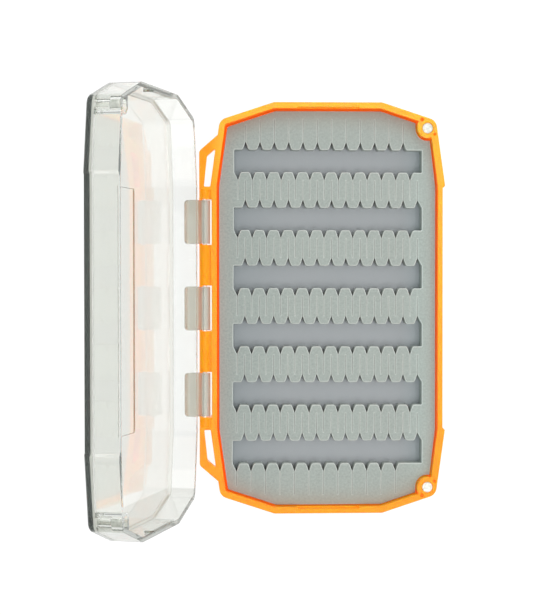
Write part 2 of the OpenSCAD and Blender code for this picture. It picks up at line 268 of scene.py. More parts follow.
def soft_edge_group() -> Tree:
    """Rounds the light on sharp edges, and masks where those edges are.

    Returns:
        A group with the outputs Normal and Edge.
    """
    graph, given, out = new_group(
        Effect.SOFT_EDGE.value,
        {"Radius": 0.3 * MM, "Gain": 6.0},
        {"Normal": "NodeSocketVector", "Edge": "NodeSocketFloat"},
    )
    bevel = graph.add("ShaderNodeBevel", {"Radius": given.outputs["Radius"]}, samples=6)
    true_normal = graph.add("ShaderNodeNewGeometry").outputs["Normal"]
    dot = graph.add(
        "ShaderNodeVectorMath", {0: bevel.outputs[0], 1: true_normal}, operation="DOT_PRODUCT"
    ).outputs["Value"]
    turned = graph.minus(1.0, dot)
    edge = graph.math("MINIMUM", graph.times(turned, given.outputs["Gain"]), 1.0)
    graph.feed(out.inputs["Normal"], bevel.outputs[0])
    graph.feed(out.inputs["Edge"], edge)
    return graph.tree


def mottle_group() -> Tree:
    """Slow cloudy variation, for colour and gloss.

    Returns:
        A group with the output Cloud, from 0 to 1.
    """
    graph, given, out = new_group(
        Effect.MOTTLE.value, {"Scale": 60.0, "Contrast": 1.0}, {"Cloud": "NodeSocketFloat"}
    )
    look = {"Scale": given.outputs["Scale"], "Detail": 3.0, "Roughness": 0.55}
    clouds = graph.add("ShaderNodeTexNoise", {"Vector": graph.place()} | look).outputs["Fac"]
    spread = graph.times(graph.minus(clouds, 0.5), given.outputs["Contrast"])
    cloud = graph.math("ADD", spread, 0.5)
    graph.feed(out.inputs["Cloud"], graph.ramp(cloud, 0.2, 0.8))
    return graph.tree


def grain_group() -> Tree:
    """Fine grain: cells with pits between them, and a finer noise over them.

    Returns:
        A group with the outputs Height and Speckle, both from 0 to 1.
    """
    graph, given, out = new_group(
        Effect.GRAIN.value,
        {"Cells per metre": 2500.0, "Cell share": 0.5},
        {"Height": "NodeSocketFloat", "Speckle": "NodeSocketFloat"},
    )
    place = graph.place()
    scale = given.outputs["Cells per metre"]
    cells = graph.add(
        "ShaderNodeTexVoronoi", {"Vector": place, "Scale": scale, "Randomness": 1.0}
    ).outputs["Distance"]
    look = {"Scale": graph.times(scale, 0.8), "Detail": 4.0, "Roughness": 0.6}
    fine = graph.add("ShaderNodeTexNoise", {"Vector": place} | look).outputs["Fac"]
    share = given.outputs["Cell share"]
    pits = graph.times(graph.minus(1.0, cells), share)
    height = graph.math("ADD", pits, graph.times(fine, graph.minus(1.0, share)))
    graph.feed(out.inputs["Height"], height)
    graph.feed(out.inputs["Speckle"], graph.ramp(fine, 0.3, 0.7))
    return graph.tree


def dust_group() -> Tree:
    """Sparse small specks.

    Returns:
        A group with the output Mask.
    """
    graph, given, out = new_group(
        Effect.DUST.value, {"Scale": 700.0, "Amount": 0.1}, {"Mask": "NodeSocketFloat"}
    )
    specks = graph.add(
        "ShaderNodeTexVoronoi", {"Vector": graph.place(), "Scale": given.outputs["Scale"]}
    ).outputs["Distance"]
    look = {"Vector": graph.place(), "Scale": graph.times(given.outputs["Scale"], 0.05)}
    patches = graph.add("ShaderNodeTexNoise", look).outputs["Fac"]
    near = graph.ramp(specks, 0.05, 0.12, 1.0, 0.0)
    dusty = graph.times(near, graph.ramp(patches, 0.5, 0.7))
    graph.feed(out.inputs["Mask"], graph.times(dusty, given.outputs["Amount"]))
    return graph.tree


def nook_group() -> Tree:
    """Tells open faces from narrow nooks by ambient occlusion, for painted shade and painted glow
    there.

    Returns:
        A group with the output Open, which is 0 deep in a nook and 1 in the open.
    """
    graph, given, out = new_group(
        Effect.NOOK.value,
        {"Reach": 2.0 * MM, "Shut": 0.15, "Clear": 0.6},
        {"Open": "NodeSocketFloat"},
    )
    seen = graph.add("ShaderNodeAmbientOcclusion", {"Distance": given.outputs["Reach"]}, samples=8)
    share = graph.ramp(seen.outputs["AO"], given.outputs["Shut"], given.outputs["Clear"])
    graph.feed(out.inputs["Open"], share)
    return graph.tree


_BUILDERS: dict[Effect, Callable[[], Tree]] = {
    Effect.SOFT_EDGE: soft_edge_group,
    Effect.MOTTLE: mottle_group,
    Effect.GRAIN: grain_group,
    Effect.DUST: dust_group,
    Effect.NOOK: nook_group,
}


# --- Finishes ---


@dataclass(frozen=True)
class Finish:
    """What a surface is made of. Each kind of finish wires its own material."""

    name: str

    def material(self) -> bpy.types.Material:
        """The finish's material, built when it is first asked for.

        Returns:
            The material.
        """
        found = bpy.data.materials.get(self.name)
        if found:
            return found
        made = bpy.data.materials.new(self.name)
        made.use_nodes = True
        graph = Graph(made.node_tree)
        out = graph.add("ShaderNodeOutputMaterial")
        self.wire(graph, out)
        return made

    def wire(self, graph: Graph, out: Node) -> None:
        """Wires the finish into a material's empty graph, up to its output node."""
        raise NotImplementedError

    def put_on(self, piece: bpy.types.Object) -> None:
        """Gives the whole piece this finish."""
        piece.data.materials.clear()
        piece.data.materials.append(self.material())


@dataclass(frozen=True)
class MouldedPlastic(Finish):
    """Opaque coloured plastic that light soaks into a little, as the tray has."""

    body: Colour = (1.0, 0.36, 0.008)
    bright: Colour = (1.0, 0.48, 0.04)
    bright_clouds: float = 0.16
    # Painted highlight: the share of the bright colour laid on the soft edges.
    painted_edge_highlight_share: float = 0.3
    # Painted light: the rim's top face grows lighter towards the +y end of the case.
    painted_rim_light: Colour = (1.0, 0.52, 0.055)
    painted_rim_light_along: Span = (-60.0 * MM, 76.0 * MM)
    dust: Colour = (1.0, 0.8, 0.5)
    deep: Colour = (0.95, 0.17, 0.003)
    mark_share: float = 0.8
    mark_fade: float = 1.3
    # Painted light: the deep red-orange that light soaking through the plastic gives the bay's
    # inner walls.
    painted_wall_light: Colour = (1.0, 0.15, 0.005)
    wall_shift: Place = (0.25 * MM, -0.15 * MM, 0.0)
    wall_line: float = 40.75 * MM
    wall_end: float = 73.45 * MM
    wall_corner: Place = (0.3134, 0.9496, 75.9 * MM)
    wall_edge: float = 0.26 * MM
    wall_back: float = -0.48 * MM
    boss: Place = (36.9 * MM, 66.6 * MM, 4.0 * MM)
    rim_top: Span = (12.3 * MM, 12.4 * MM)
    strip_side: Span = (-44.0 * MM, -39.0 * MM)
    soak: float = 0.9
    soak_spread: Colour = (1.0, 0.2, 0.04)
    soak_reach: float = 1.8 * MM
    # Painted glow: emission in narrow nooks and on the inner walls, in place of light soaking
    # through the plastic.
    glow: Colour = (0.62, 0.08, 0.004)
    glow_reach: float = 3.0 * MM
    glow_outside: Colour = (0.40, 0.10, 0.003)
    glow_above: float = 4.5 * MM
    glow_floor: float = 1.2 * MM
    wall_glow: float = 0.40
    roughness: Span = (0.25, 0.38)
    specular: float = 0.14
    crown: float = 0.45 * MM
    marks: tuple[Place, ...] = (
        (39.5 * MM, 64.35 * MM, 0.5 * MM),
        (34.8 * MM, 69.75 * MM, 0.65 * MM),
    )

    def marked(self, graph: Graph) -> Socket:
        """Masks the small round marks beside the magnets, at both ends of the case.

        Args:
            graph: The material's graph.

        Returns:
            The mask's socket, from 0 to 1.
        """
        across, along, _ = graph.split()
        spot = graph.add("ShaderNodeCombineXYZ", {0: across, 1: graph.size(along)})
        total: object = 0.0
        for x, y, radius in self.marks:
            away = graph.apart(spot.outputs[0], (x, y, 0.0))
            mark = graph.ramp(away, radius, radius * self.mark_fade, 1.0, 0.0)
            total = graph.most(total, mark)
        return total

    def bay(self, graph: Graph) -> tuple[Socket, Socket]:
        """Masks the bay's inner walls with the rim's inner edge, where red-orange light is
        painted, and all that lies inside it.

        Args:
            graph: The material's graph.

        Returns:
            The mask of the walls and the mask of the inside, from 0 to 1.
        """
        shifted = graph.add(
            "ShaderNodeVectorMath", {0: graph.place(), 1: self.wall_shift}, operation="ADD"
        )
        place = graph.split(shifted.outputs[0])
        long = graph.size(place[1])
        side = graph.math("ADD", graph.line(place, 1.0, 0.0, self.wall_line), graph.taper(long))
        end = graph.line(place, 0.0, 1.0, self.wall_end)
        corner = graph.line(place, *self.wall_corner)
        spot = graph.add("ShaderNodeCombineXYZ", {0: place[0], 1: long}).outputs[0]
        boss = graph.minus(self.boss[2], graph.apart(spot, (*self.boss[:2], 0.0)))
        out = graph.most(graph.most(side, end), graph.most(corner, boss))
        soft = 0.08 * MM
        inside = graph.ramp(out, self.wall_edge - soft, self.wall_edge + soft, 1.0, 0.0)
        near = graph.ramp(out, self.wall_back, self.wall_back + soft)
        return graph.times(inside, near), inside

    def wire(self, graph: Graph, out: Node) -> None:
        """Wires a soaked-through plastic with soft edges and fine moulding grain, painted
        highlights, painted red-orange light on the inner walls and a painted glow in its nooks.

        Args:
            graph: The material's empty graph.
            out: The material's output node.
        """
        soft = Effect.SOFT_EDGE.into(graph, Radius=self.crown, Gain=4.0)
        cloud = Effect.MOTTLE.into(graph, Scale=45.0, Contrast=1.2).outputs["Cloud"]
        grain = Effect.GRAIN.into(graph, Cells_per_metre=3200.0, Cell_share=0.3)
        dust = Effect.DUST.into(graph, Scale=520.0, Amount=0.06).outputs["Mask"]
        across, along, high = graph.split()
        # Painted light on the rim's top face, lighter towards the +y end.
        on_rim = graph.times(graph.ramp(high, *self.rim_top), graph.ramp(across, *self.strip_side))
        painted_rim_light = graph.times(graph.ramp(along, *self.painted_rim_light_along), on_rim)
        plain = graph.mix(painted_rim_light, self.body, self.painted_rim_light)
        bright = graph.ramp(cloud, 0.0, 1.0, 0.0, self.bright_clouds)
        clouded = graph.mix(bright, plain, self.bright)
        # Painted highlight along the rounded edges.
        painted_edge_highlight = graph.times(soft.outputs["Edge"], self.painted_edge_highlight_share)
        edged = graph.mix(painted_edge_highlight, clouded, self.bright)
        painted_wall_light, inside = self.bay(graph)
        # Painted red-orange light on the bay's inner walls and the rim's inner edge.
        with_wall_light = graph.mix(painted_wall_light, edged, self.painted_wall_light)
        marked = graph.mix(graph.times(self.marked(graph), self.mark_share), with_wall_light, self.deep)
        # Painted glow: narrow nooks above a floor height, and the inner walls, give off red-orange
        # light.
        nook = Effect.NOOK.into(graph, Reach=self.glow_reach, Shut=0.15, Clear=0.75)
        lowest = graph.ramp(inside, 0.0, 1.0, self.glow_above, self.glow_floor)
        shut = graph.minus(1.0, nook.outputs["Open"])
        glowing = graph.most(shut, graph.times(painted_wall_light, self.wall_glow))
        lit = graph.times(glowing, graph.math("GREATER_THAN", high, lowest))
        shine = graph.mix(inside, self.glow_outside, self.glow)
        graph.shade(
            out,
            Base_Color=graph.mix(dust, marked, self.dust),
            Roughness=graph.ramp(cloud, 0.0, 1.0, *self.roughness),
            Subsurface_Weight=self.soak,
            Subsurface_Radius=self.soak_spread,
            Subsurface_Scale=self.soak_reach,
            IOR=1.49,
            Specular_IOR_Level=self.specular,
            Emission_Color=graph.mix(lit, BLACK, shine),
            Emission_Strength=1.0,
            Normal=graph.bump(grain.outputs["Height"], 0.25, 0.02 * MM, soft.outputs["Normal"]),
        )


@dataclass(frozen=True)
class ClearPlastic(Finish):
    """Clear plastic with a faint grey-green body, which darkens along a long path, and a painted
    dark reflection along the plate's edge.
    """

    body: Colour = (0.975, 0.985, 0.96)
    # Painted reflection: the dark band along the plate's edge, where it mirrors dark surroundings.
    edge: Colour = (0.042, 0.048, 0.048)
    arm: Colour = (0.35, 0.315, 0.22)
    rim: Colour = (0.39, 0.41, 0.38)
    far_end: Colour = (0.80, 0.81, 0.775)
    step: Colour = (0.08, 0.06, 0.05)
    panel_at: float = 5.9 * MM
    panel_half: Span = (8.1 * MM, 42.0 * MM)
    panel_floor: float = 23.8 * MM
    step_wide: Span = (0.1 * MM, 0.16 * MM)
    milk: Colour = (0.66, 0.66, 0.60)
    milky_fillet: float = 0.5
    milky_arms: float = 0.5
    soft_light: Colour = (0.95, 0.955, 0.95)
    absorbs: Colour = (0.34, 0.42, 0.38)
    density: float = 17.0
    roughness: Span = (0.02, 0.05)
    specular: float = 0.03
    hinge: Place = (-45.6 * MM, 0.0, 10.5 * MM)
    open_angle: float = 106.5
    plate_line: float = 22.5 * MM
    arm_line: float = -43.6 * MM
    back: Colour = (0.875, 0.895, 0.88)
    back_line: float = -41.3 * MM
    rim_line: float = 12.8 * MM
    rim_end: float = 66.0 * MM
    fillet: float = 0.8 * MM
    side_line: float = 41.6 * MM

    def zones(self, graph: Graph) -> tuple[Socket, ...]:
        """Masks the tinted zones.

        Args:
            graph: The material's graph.

        Returns:
            Masks from 0 to 1 of the plate's edge, where a dark reflection is painted, the rim's
            ends, the far end, the fillet, the hinge arms, the back wall and the step round the
            panel.
        """
        turn = {"Center": self.hinge, "Angle": math.radians(self.open_angle)}
        closed = graph.add(
            "ShaderNodeVectorRotate", {"Vector": graph.place()} | turn, rotation_type="Y_AXIS"
        )
        across, along, high = graph.split(closed.outputs[0])
        long = graph.size(along)
        out = graph.math("ADD", across, graph.taper(long))
        blur = 0.2 * MM
        # Painted dark reflection along the plate's edge.
        aside = graph.ramp(out, self.side_line - blur, self.side_line + blur)
        dark_edge_reflection = graph.times(aside, graph.ramp(high, self.plate_line - blur, self.plate_line + blur))
        low = graph.ramp(high, self.rim_line, self.rim_line + blur, 1.0, 0.0)
        rim = graph.times(low, graph.ramp(long, self.rim_end, self.rim_end + blur))
        far_end = graph.ramp(along, -self.rim_end - blur, -self.rim_end, 1.0, 0.0)
        half, fade = self.fillet / 2, self.fillet / 20
        away = graph.size(graph.minus(high, self.plate_line - half))
        fillet = graph.ramp(away, half - fade, half + fade, 1.0, 0.0)
        arms = graph.ramp(across, self.arm_line - blur, self.arm_line, 1.0, 0.0)
        back = graph.ramp(across, self.back_line - blur, self.back_line, 1.0, 0.0)
        off = graph.size(graph.minus(across, self.panel_at))
        wide, tall = self.panel_half
        beyond = graph.most(graph.minus(off, wide), graph.minus(long, tall))
        outline = graph.ramp(graph.size(beyond), *self.step_wide, 1.0, 0.0)
        step = graph.times(outline, graph.math("GREATER_THAN", high, self.panel_floor))
        return dark_edge_reflection, rim, far_end, fillet, arms, back, step

    def wire(self, graph: Graph, out: Node) -> None:
        """Wires refracting plastic that lets shadow and soft light straight through.

        Args:
            graph: The material's empty graph.
            out: The material's output node.
        """
        soft = Effect.SOFT_EDGE.into(graph, Radius=0.3 * MM, Gain=5.0)
        cloud = Effect.MOTTLE.into(graph, Scale=38.0, Contrast=1.0).outputs["Cloud"]
        dark_edge_reflection, rim, far_end, fillet, arms, back, step = self.zones(graph)
        behind = graph.mix(back, self.body, self.back)
        plain = graph.mix(far_end, behind, self.far_end)
        tint = graph.mix(rim, graph.mix(arms, plain, self.arm), self.rim)
        shader = graph.add(
            "ShaderNodeBsdfPrincipled",
            {
                "Base Color": graph.mix(step, graph.mix(dark_edge_reflection, tint, self.edge), self.step),
                "Roughness": graph.ramp(cloud, 0.0, 1.0, *self.roughness),
                "IOR": 1.49,
                "Specular IOR Level": self.specular,
                "Transmission Weight": 1.0,
                "Normal": graph.bump(cloud, 0.1, 0.05 * MM, soft.outputs["Normal"]),
            },
        )
        milk = graph.add(
            "ShaderNodeBsdfPrincipled",
            {"Base Color": self.milk, "Roughness": 0.5, "Specular IOR Level": 0.2},
        )
        milky_arms = graph.times(arms, self.milky_arms)
        milky = graph.most(graph.times(fillet, self.milky_fillet), milky_arms)
        through = graph.add("ShaderNodeBsdfTransparent", {"Color": self.soft_light})
        path = graph.add("ShaderNodeLightPath").outputs
        ray = graph.most(path["Is Shadow Ray"], path["Is Diffuse Ray"])
        mixed = graph.blend(ray, graph.blend(milky, shader, milk), through)
        inside = graph.add(
            "ShaderNodeVolumeAbsorption", {"Color": self.absorbs, "Density": self.density}
        )
        graph.feed(out.inputs["Surface"], mixed.outputs[0])
        graph.feed(out.inputs["Volume"], inside.outputs[0])


@dataclass(frozen=True)
class CutFoam(Finish):
    """Closed-cell foam, matt and fine-grained, with a painted highlight along its cut lips,
    painted shade in its nooks and towards the case's ends, and painted side light.
    """

    body: Colour = (0.42, 0.465, 0.43)
    shade: Colour = (0.29, 0.325, 0.302)
    body_speckles: float = 0.75
    body_clouds: float = 0.2
    # Painted highlight: the cut lips are lightened towards this colour.
    lip: Colour = (0.58, 0.62, 0.58)
    dust: Colour = (0.6, 0.62, 0.58)
    # Painted shade and orange bounce light: the foam darkens and warms towards the case's ends.
    painted_bounce_shade: Colour = (0.32, 0.265, 0.20)
    warm_share: float = 0.55
    warm_reach: float = 9.0 * MM
    warm_power: float = 1.4
    end_line: float = 74.2 * MM
    corner_line: Place = (0.3134, 0.9496, 76.6 * MM)
    # Painted shade: dark brown in narrow nooks, such as the tips of the V mouths.
    nook: Colour = (0.11, 0.085, 0.065)
    nook_reach: float = 2.4 * MM
    # Painted light: the foam is darker towards the left and lighter towards the right.
    left: Colour = (0.90, 0.925, 0.935)
    left_side: Span = (-37.0 * MM, -14.0 * MM)
    right: Colour = (1.06, 1.15, 1.16)
    right_side: Span = (28.0 * MM, 39.0 * MM)
    cells_per_metre: float = 1700.0
    lip_share: float = 0.8
    roughness: Span = (0.82, 0.95)

    def wire(self, graph: Graph, out: Node) -> None:
        """Wires matt foam with cells and slow clouds, painted lip highlights, painted shade and
        painted side light.

        Args:
            graph: The material's empty graph.
            out: The material's output node.
        """
        cloud = Effect.MOTTLE.into(graph, Scale=70.0, Contrast=1.3).outputs["Cloud"]
        grain = Effect.GRAIN.into(graph, Cells_per_metre=self.cells_per_metre, Cell_share=0.55)
        dust = Effect.DUST.into(graph, Scale=420.0, Amount=0.12).outputs["Mask"]
        lip = graph.add("ShaderNodeAttribute", attribute_name="lip").outputs["Fac"]
        speckle = graph.times(grain.outputs["Speckle"], self.body_speckles)
        speckled = graph.mix(speckle, self.shade, self.body)
        cloudy = graph.ramp(cloud, 0.0, 1.0, 0.0, self.body_clouds)
        clouded = graph.mix(cloudy, speckled, self.body)
        # Painted highlight along the cut lips.
        lip_highlighted = graph.mix(graph.times(lip, self.lip_share), clouded, self.lip)
        # Painted shade and orange bounce light towards the case's ends.
        place = graph.split()
        end = graph.line(place, 0.0, 1.0, self.end_line)
        end = graph.most(end, graph.line(place, *self.corner_line))
        near = graph.math("POWER", graph.ramp(end, -self.warm_reach, 0.0), self.warm_power)
        # Painted side light, darker at the left and lighter at the right.
        left = graph.mix(graph.ramp(place[0], *self.left_side), self.left, WHITE)
        painted_side_light = graph.mix(graph.ramp(place[0], *self.right_side), left, self.right)
        side_lit = graph.mix(1.0, lip_highlighted, painted_side_light, "MULTIPLY")
        bounce_shaded = graph.mix(graph.times(near, self.warm_share), side_lit, self.painted_bounce_shade)
        dusty = graph.mix(dust, bounce_shaded, self.dust)
        # Painted shade in narrow nooks.
        nook = Effect.NOOK.into(graph, Reach=self.nook_reach, Shut=0.08, Clear=0.32)
        graph.shade(
            out,
            Base_Color=graph.mix(nook.outputs["Open"], self.nook, dusty),
            Roughness=graph.ramp(cloud, 0.0, 1.0, *self.roughness),
            Sheen_Weight=0.12,
            Sheen_Roughness=0.6,
            Specular_IOR_Level=0.25,
            Normal=graph.bump(grain.outputs["Height"], 0.55, 0.06 * MM),
        )


@dataclass(frozen=True)
class Metal(Finish):
    """Bare or plated metal with a mottled, slightly scuffed face."""

    body: Colour = (0.78, 0.79, 0.75)
    dull: Colour = (0.50, 0.52, 0.47)
    dull_share: float = 0.8
    roughness: Span = (0.42, 0.62)
    cloud_scale: float = 900.0
    bare: float = 0.45

    def wire(self, graph: Graph, out: Node) -> None:
        """Wires metal whose gloss and colour wander.

        Args:
            graph: The material's empty graph.
            out: The material's output node.
        """
        soft = Effect.SOFT_EDGE.into(graph, Radius=0.2 * MM, Gain=5.0)
        cloud = Effect.MOTTLE.into(graph, Scale=self.cloud_scale, Contrast=1.8).outputs["Cloud"]
        grain = Effect.GRAIN.into(graph, Cells_per_metre=6000.0, Cell_share=0.2)
        dull = graph.ramp(cloud, 0.0, 1.0, 0.0, self.dull_share)
        graph.shade(
            out,
            Base_Color=graph.mix(dull, self.body, self.dull),
            Metallic=self.bare,
            Roughness=graph.ramp(cloud, 0.0, 1.0, *self.roughness),
            Normal=graph.bump(grain.outputs["Height"], 0.2, 0.02 * MM, soft.outputs["Normal"]),
        )


@dataclass(frozen=True)
class StickyFilm(Finish):
    """Milky double-sided film with a fibrous carrier."""

    body: Colour = (0.78, 0.77, 0.72)
    fibre: Colour = (0.9, 0.9, 0.87)
    roughness: Span = (0.2, 0.45)

    def wire(self, graph: Graph, out: Node) -> None:
        """Wires a film with fibres and a wet gloss.

        Args:
            graph: The material's empty graph.
            out: The material's output node.
        """
        cloud = Effect.MOTTLE.into(graph, Scale=260.0, Contrast=2.2).outputs["Cloud"]
        grain = Effect.GRAIN.into(graph, Cells_per_metre=1800.0, Cell_share=0.6)
        graph.shade(
            out,
            Base_Color=graph.mix(cloud, self.body, self.fibre),
            Roughness=graph.ramp(cloud, 0.0, 1.0, *self.roughness),
            Normal=graph.bump(grain.outputs["Height"], 0.3, 0.03 * MM),
        )


@dataclass(frozen=True)
class StudioPaper(Finish):
    """Seamless white paper, lit so that it stays nearly white in the picture."""

    body: Colour = (0.12, 0.12, 0.12)
    shade: Colour = (0.115, 0.115, 0.12)
    shade_share: float = 0.3
    glow: float = 0.93

    def wire(self, graph: Graph, out: Node) -> None:
        """Wires matt paper with a faint glow of its own.

        Args:
            graph: The material's empty graph.
            out: The material's output node.
        """
        cloud = Effect.MOTTLE.into(graph, Scale=4.0, Contrast=0.6).outputs["Cloud"]
        shaded = graph.ramp(cloud, 0.0, 1.0, 0.0, self.shade_share)
        graph.shade(
            out,
            Base_Color=graph.mix(shaded, self.body, self.shade),
            Roughness=0.9,
            Specular_IOR_Level=0.1,
            Emission_Color=WHITE,
            Emission_Strength=self.glow,
        )


# --- Soft sheets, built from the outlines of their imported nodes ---


def left_normals(steps: np.ndarray) -> np.ndarray:
    """The unit normal on the left of each step of an outline."""
    turned = np.stack([-steps[:, 1], steps[:, 0]], 1)
    return turned / np.maximum(np.linalg.norm(turned, axis=1, keepdims=True), TINY)


def drawn_in(loop: np.ndarray, reach: np.ndarray) -> np.ndarray:
    """Moves each corner of a closed outline into the material, which lies on its left.

    Args:
        loop: The corners, one row of x and y each.
        reach: How far each corner's two sides move.

    Returns:
        The moved corners.
    """
    before = left_normals(loop - np.roll(loop, 1, 0))
    after = left_normals(np.roll(loop, -1, 0) - loop)
    sharpest = 0.35
    lean = np.maximum(1.0 + (before * after).sum(1), sharpest)
    return loop + (before + after) * (reach / lean)[:, None]


def sides(loops: list[np.ndarray]) -> Iterator[tuple[np.ndarray, np.ndarray]]:
    """The two ends of each side of closed outlines."""
    for loop in loops:
        yield from zip(loop, np.roll(loop, -1, 0))


def is_inside(points: np.ndarray, loops: list[np.ndarray]) -> np.ndarray:
    """Tells which points lie in the material between closed outlines.

    Args:
        points: One row of x and y each.
        loops: The outer outline and its holes.

    Returns:
        One True or False for each point.
    """
    inside = np.zeros(len(points), bool)
    for a, b in sides(loops):
        if a[1] != b[1]:
            spans = (a[1] > points[:, 1]) != (b[1] > points[:, 1])
            crossing = a[0] + (points[:, 1] - a[1]) * (b[0] - a[0]) / (b[1] - a[1])
            inside ^= spans & (points[:, 0] < crossing)
    return inside


def near_outline(points: np.ndarray, loops: list[np.ndarray], reach: float) -> np.ndarray:
    """Tells which points lie closer than reach to any outline.

    Args:
        points: One row of x and y each.
        loops: The outlines.
        reach: The distance.

    Returns:
        One True or False for each point.
    """
    near = np.zeros(len(points), bool)
    for a, b in sides(loops):
        run = b - a
        along = np.clip(((points - a) @ run) / max(run @ run, TINY), 0, 1)
        near |= np.linalg.norm(points - a - along[:, None] * run, axis=1) < reach
    return near


@dataclass
class Shell:
    """A mesh in the making: its points, as x, y, z and share of the lip's painted highlight, and
    its faces.
    """

    points: list[tuple[float, ...]] = field(default_factory=list)
    faces: list[tuple[int, ...]] = field(default_factory=list)

    def point(self, x: float, y: float, z: float, pale: float = 0.0) -> int:
        """Adds a point, and gives its number."""
        self.points.append((x, y, z, pale))
        return len(self.points) - 1


@dataclass
class CutSheet:
    """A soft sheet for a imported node: its outline, with rounded lips and a live upper face."""

    node: str
    slot: str
    finish: Finish
    lip_wid: float = 0.28 * MM
    lip_deep: float = 0.36 * MM
    lip_steps: int = 4
    lip_fade: float = 0.14 * MM
    grid: float = 1.6 * MM
    grid_clear: float = 0.45
    crease: float = 42.0
    swell: float = 0.04 * MM
    swell_scale: float = 7.0 * MM
    step: float = 1.5 * MM
    nudge: Span = (0.07 * MM, 0.42 * MM)
    askew: float = -0.17
    fan: float = 0.1
    bow: float = 0.33 * MM
    bow_reach: float = 58.0 * MM
    spread: float = 0.45 * MM
    spread_by: Span = (0.22 * MM, -0.08 * MM)

    def laid(self, points: np.ndarray) -> np.ndarray:
        """Where a cut-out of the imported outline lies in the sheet, as it was pressed in by hand.

        Args:
            points: One row of x and y each.

        Returns:
            The points, turned, fanned and bowed a little.
        """
        turn = math.radians(self.askew)
        across, along = points[:, 0], points[:, 1]
        bowed = self.bow * (1 - (along / self.bow_reach) ** 2)
        x = across * (1 - self.fan * along) - turn * along
        return np.stack([x, along + turn * across + bowed], 1) + self.nudge

    def pressed(self, points: np.ndarray) -> np.ndarray:
        """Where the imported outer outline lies, with the sheet spread towards the walls."""
        return drawn_in(points, np.full(len(points), -self.spread)) + self.spread_by

    def outlines(self) -> list[np.ndarray]:
        """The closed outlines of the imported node's upper face, with the material on their left.

        Returns:
            One array of x and y rows for each outline.
        """
        weld, level = 0.002 * MM, 0.001 * MM
        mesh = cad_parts[self.node].data
        places = np.array([v.co for v in mesh.vertices], float)
        top = places[:, 2].max() - level
        keys = [tuple(np.round(p[:2] / weld).astype(int)) for p in places]
        corner = {key: places[i, :2] for i, key in enumerate(keys)}
        steps: set[tuple] = set()
        for face in mesh.polygons:
            ids = list(face.vertices)
            if all(places[i, 2] > top for i in ids) and face.normal.z > 0.5:
                steps |= {(keys[a], keys[b]) for a, b in zip(ids, ids[1:] + ids[:1])}
        following = {a: b for a, b in steps if (b, a) not in steps}
        loops = []
        while following:
            run, here = [], min(following)
            while here in following:
                run.append(corner[here])
                here = following.pop(here)
            loops.append(np.array(run))
        return loops

    def dressed(self, loop: np.ndarray) -> tuple[np.ndarray, np.ndarray]:
        """An outline with points along its long sides, and how wide the lip is at each."""
        return self.spaced(loop, np.full(len(loop), self.lip_wid))

    def spaced(self, loop: np.ndarray, lips: np.ndarray) -> tuple[np.ndarray, np.ndarray]:
        """Adds points along an outline's long sides.

        Args:
            loop: The outline's corners.
            lips: The lip's width at each corner.

        Returns:
            The points, and the lip's width at each of them.
        """
        points, widths = [], []
        for a, b, la, lb in zip(loop, np.roll(loop, -1, 0), lips, np.roll(lips, -1)):
            parts = max(1, math.ceil(np.linalg.norm(b - a) / self.step))
            for k in range(parts):
                points.append(a + (b - a) * k / parts)
                widths.append(la + (lb - la) * k / parts)
        return np.array(points), np.array(widths)

    def rise(self, x: float, y: float) -> float:
        """How far the upper face stands above or below flat at a place."""
        scale = self.swell_scale
        return self.swell * noise.noise(Vector((x / scale, y / scale, 0.5)))

    def build(self) -> bpy.types.Object:
        """Builds the sheet's closed mesh.

        Returns:
            The new piece, in place.
        """
        low, high = (corner.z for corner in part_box(self.node))
        loops = list(map(self.dressed, self.outlines()))
        longest = max(np.ptp(points[:, 1]) for points, _ in loops)
        shell = Shell()
        upper, lower = [], []
        turns = [math.pi / 2 * k / self.lip_steps for k in range(self.lip_steps + 1)]
        for points, lips in loops:
            is_outer = np.ptp(points[:, 1]) == longest
            points = self.pressed(points) if is_outer else self.laid(points)
            rings = [self.ring(shell, drawn_in(points, lips + self.lip_fade), high, 0.0)]
            for turn in turns:
                ring = drawn_in(points, lips * (1 - math.sin(turn)))
                drop = lips / self.lip_wid * self.lip_deep * (1 - math.cos(turn))
                rings.append(self.ring(shell, ring, high - drop, 1 - turn / math.pi))
            for share in (0.5, 0.0):
                rings.append(self.ring(shell, points, low + share * (high - low), 0.0))
            for above, below in zip(rings, rings[1:]):
                for k in range(len(above)):
                    n = (k + 1) % len(above)
                    shell.faces.append((above[n], above[k], below[k], below[n]))
            upper.append(rings[0])
            lower.append(rings[-1])
        self.fill(shell, upper, high, True)
        self.fill(shell, lower, low, False)
        mesh = bpy.data.meshes.new(self.node + "_soft")
        mesh.from_pydata([point[:3] for point in shell.points], [], shell.faces)
        mesh.validate()
        # The lip attribute holds each point's share of the painted highlight along the cut lips.
        lip = mesh.attributes.new("lip", "FLOAT", "POINT")
        lip.data.foreach_set("value", [point[3] for point in shell.points])
        mesh.shade_smooth()
        mesh.set_sharp_from_angle(angle=math.radians(self.crease))
        piece = bpy.data.objects.new(self.node + "_soft", mesh)
        bpy.context.scene.collection.objects.link(piece)
        return piece

    def ring(
        self, shell: Shell, points: np.ndarray, heights: float | np.ndarray, pale: float
    ) -> list[int]:
        """Adds one ring of an outline to the mesh.

        Args:
            shell: The mesh so far.
            points: The ring's x and y.
            heights: The ring's z, or its z at each point.
            pale: The ring's share of the lip's painted highlight.

        Returns:
            The ring's point numbers.
        """
        low, high = (corner.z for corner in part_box(self.node))
        numbers = []
        for (x, y), z in zip(points, np.broadcast_to(heights, len(points))):
            share = (z - low) / (high - low)
            numbers.append(shell.point(x, y, z + share * self.rise(x, y), pale))
        return numbers

